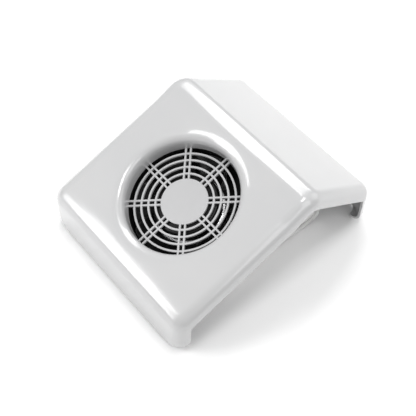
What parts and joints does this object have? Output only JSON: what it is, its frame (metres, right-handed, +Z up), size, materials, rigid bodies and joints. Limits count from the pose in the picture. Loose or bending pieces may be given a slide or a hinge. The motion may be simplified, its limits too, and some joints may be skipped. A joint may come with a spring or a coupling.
{
  "type": "nail dust collector",
  "caption": "Saddle-shaped tabletop nail dust collector: hand-rest shell, round grille over an axial fan, dust bag beneath, rocker switch and power inlet at the back.",
  "frame": {"origin": "on the table, below the middle of the overall box", "axes": "+X along the open ends of the shell, to the right as the user faces it, +Y from the low front edge to the high back, +Z up"},
  "size_m": [0.207, 0.2544, 0.1034],
  "materials": {
    "shell": "glossy moulded ABS",
    "grille": "satin moulded ABS",
    "fan_frame": "black painted die casting",
    "bronze": "sintered bronze",
    "nylon": "natural nylon",
    "fan_plastic": "black moulded PBT",
    "stator_iron": "stacked laminations",
    "copper": "enamelled copper wire",
    "steel": "drawn steel",
    "switch_plastic": "black nylon",
    "brass": "tinned brass",
    "collar": "moulded ABS",
    "elastic": "covered elastic cord",
    "bag_fabric": "non-woven polypropylene",
    "zinc": "zinc plated steel",
    "rubber": "moulded rubber",
    "rocker": "black polished nylon",
    "lead_brown": "PVC insulation",
    "lead_black": "PVC insulation",
    "lead_blue": "PVC insulation"
  },
  "bodies": {
    "housing": {"top_shell": "shell", "intake_grille": "grille", "fan_frame": "fan_frame", "upper_bush": "bronze", "lower_bush": "bronze", "thrust_washer": "nylon", "bearing_cap": "fan_plastic", "stator_core": "stator_iron", "stator_coils": "copper", "terminal_block": "switch_plastic", "terminal_pins": "brass", "bag_collar": "collar", "bag_elastic": "elastic", "dust_bag": "bag_fabric", "fan_screws": "zinc", "fan_washers": "zinc", "rubber_foot_1": "rubber", "rubber_foot_2": "rubber", "rubber_foot_3": "rubber", "rubber_foot_4": "rubber", "switch_housing": "switch_plastic", "switch_tabs": "brass", "inlet_housing": "switch_plastic", "inlet_pins": "brass", "inlet_screws": "zinc", "inlet_nuts": "zinc", "live_lead": "lead_brown", "switched_lead": "lead_black", "neutral_lead": "lead_blue"},
    "fan_rotor": {"impeller": "fan_plastic", "rotor_cup": "steel", "rotor_iron": "stator_iron", "rotor_shaft": "steel", "shaft_clip": "steel"},
    "rocker": {"switch_rocker": "rocker"}
  },
  "joints": [
    {"name": "fan_spin", "type": "hinge", "parent": "housing", "child": "fan_rotor", "pos_m": [0, -0.0365, 0.06], "axis": [0, -0.3277, 0.9448], "continuous": true},
    {"name": "rocker_press", "type": "hinge", "parent": "housing", "child": "rocker", "pos_m": [-0.03, 0.1235, 0.0215], "axis": [0, 0, -1], "range_deg": [0, 18]}
  ]
}
